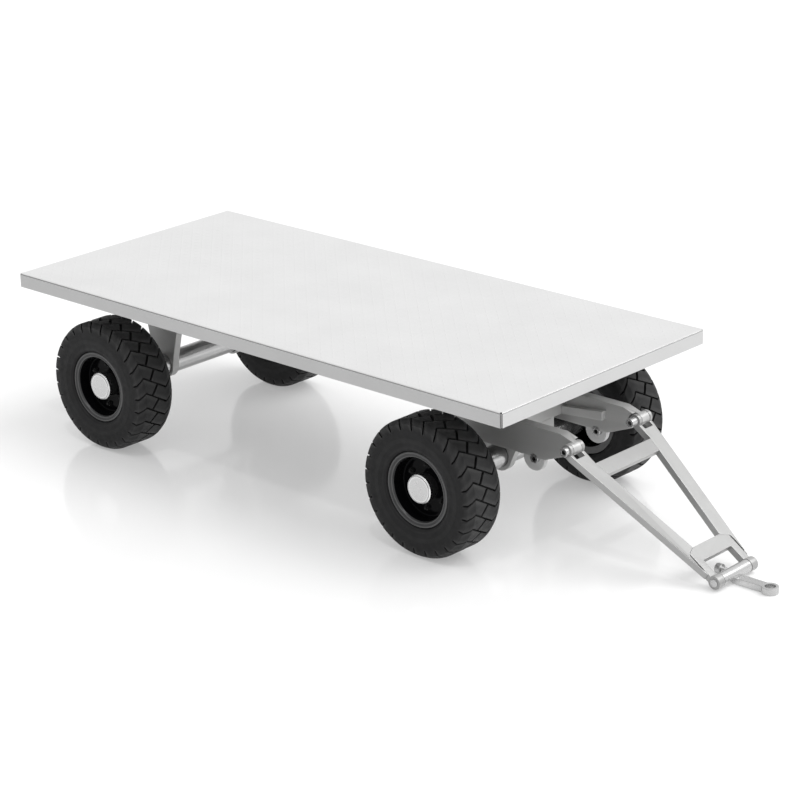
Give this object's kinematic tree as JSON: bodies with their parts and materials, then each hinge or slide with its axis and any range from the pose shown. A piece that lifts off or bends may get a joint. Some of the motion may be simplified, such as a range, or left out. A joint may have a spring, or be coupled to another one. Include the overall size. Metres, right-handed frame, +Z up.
{
  "type": "platform trailer",
  "caption": "Flatbed platform trailer with a sheet-metal deck, turntable-steered front axle, rigid rear axle, solid tyres and a hinged A-frame drawbar with towing eye.",
  "frame": {"origin": "on the floor under the middle of the overall length, on the centre plane", "axes": "+X towards the towing eye along the trailer's length, +Y to the trailer's left, +Z up"},
  "size_m": [3.2453, 1.15, 0.652],
  "materials": {
    "deck_plate": "light grey satin sheet with a faint raised tread pattern on top",
    "frame_steel": "satin light grey paint over welded steel",
    "machined_steel": "machined and lightly polished steel",
    "bolt_steel": "zinc plated socket screws and pins",
    "hub_cap": "turned aluminium with fine circular marks",
    "rim_black": "gloss black paint",
    "tyre": "matt dark grey solid rubber with blocks and sipes"
  },
  "bodies": {
    "chassis": {"cross_member_front": "frame_steel", "cross_member_middle": "frame_steel", "cross_member_rear": "frame_steel", "cross_member_rear_axle": "frame_steel", "cross_member_turntable": "frame_steel", "deck_plate": "deck_plate", "frame_rail_left": "frame_steel", "frame_rail_right": "frame_steel", "kingpin": "machined_steel", "kingpin_nut": "bolt_steel", "rear_axle": "frame_steel", "rear_axle_hanger_left": "frame_steel", "rear_axle_hanger_right": "frame_steel", "slewing_ring_outer": "machined_steel", "turntable_mount_plate": "frame_steel"},
    "front_bogie": {"bogie_gusset_left": "frame_steel", "bogie_gusset_right": "frame_steel", "bogie_lug_screw_left": "bolt_steel", "bogie_lug_screw_right": "bolt_steel", "bogie_rear_tie": "frame_steel", "bogie_side_plate_left": "frame_steel", "bogie_side_plate_right": "frame_steel", "bolster_beam": "frame_steel", "bolster_skirt_front": "frame_steel", "bolster_skirt_rear": "frame_steel", "front_axle": "frame_steel", "front_axle_hanger_left": "frame_steel", "front_axle_hanger_right": "frame_steel", "slewing_ring_inner": "machined_steel", "turntable_base_plate": "frame_steel"},
    "drawbar": {"drawbar_arm_left": "frame_steel", "drawbar_arm_right": "frame_steel", "drawbar_front_yoke": "frame_steel", "drawbar_pivot_bolt_left": "bolt_steel", "drawbar_pivot_bolt_right": "bolt_steel", "drawbar_rear_crossplate": "frame_steel", "towing_eye_pin": "bolt_steel"},
    "eye": {"towing_eye": "machined_steel", "towing_eye_nut": "machined_steel"},
    "front_left_wheel": {"front_left_tyre": "tyre", "front_left_rim": "rim_black", "front_left_hub": "rim_black", "front_left_hub_cap": "hub_cap", "front_left_bearing": "machined_steel"},
    "front_right_wheel": {"front_right_tyre": "tyre", "front_right_rim": "rim_black", "front_right_hub": "rim_black", "front_right_hub_cap": "hub_cap", "front_right_bearing": "machined_steel"},
    "rear_left_wheel": {"rear_left_tyre": "tyre", "rear_left_rim": "rim_black", "rear_left_hub": "rim_black", "rear_left_hub_cap": "hub_cap", "rear_left_bearing": "machined_steel"},
    "rear_right_wheel": {"rear_right_tyre": "tyre", "rear_right_rim": "rim_black", "rear_right_hub": "rim_black", "rear_right_hub_cap": "hub_cap", "rear_right_bearing": "machined_steel"}
  },
  "joints": [
    {"name": "front_steer", "type": "hinge", "parent": "chassis", "child": "front_bogie", "pos_m": [0.464, 0, 0.258], "axis": [0, 0, 1], "range_deg": [-90, 90]},
    {"name": "drawbar_tilt", "type": "hinge", "parent": "front_bogie", "child": "drawbar", "pos_m": [0.881, 0, 0.413], "axis": [0, -1, 0], "range_deg": [0, 75]},
    {"name": "towing_eye_pivot", "type": "hinge", "parent": "drawbar", "child": "eye", "pos_m": [1.4363, 0, 0.03091], "axis": [0, -1, 0], "range_deg": [-120, 60]},
    {"name": "front_left_wheel_spin", "type": "hinge", "parent": "front_bogie", "child": "front_left_wheel", "pos_m": [0.464, 0.4705, 0.258], "axis": [0, 1, 0], "continuous": true},
    {"name": "front_right_wheel_spin", "type": "hinge", "parent": "front_bogie", "child": "front_right_wheel", "pos_m": [0.464, -0.4705, 0.258], "axis": [0, 1, 0], "continuous": true},
    {"name": "rear_left_wheel_spin", "type": "hinge", "parent": "chassis", "child": "rear_left_wheel", "pos_m": [-1.215, 0.4705, 0.258], "axis": [0, 1, 0], "continuous": true},
    {"name": "rear_right_wheel_spin", "type": "hinge", "parent": "chassis", "child": "rear_right_wheel", "pos_m": [-1.215, -0.4705, 0.258], "axis": [0, 1, 0], "continuous": true}
  ]
}
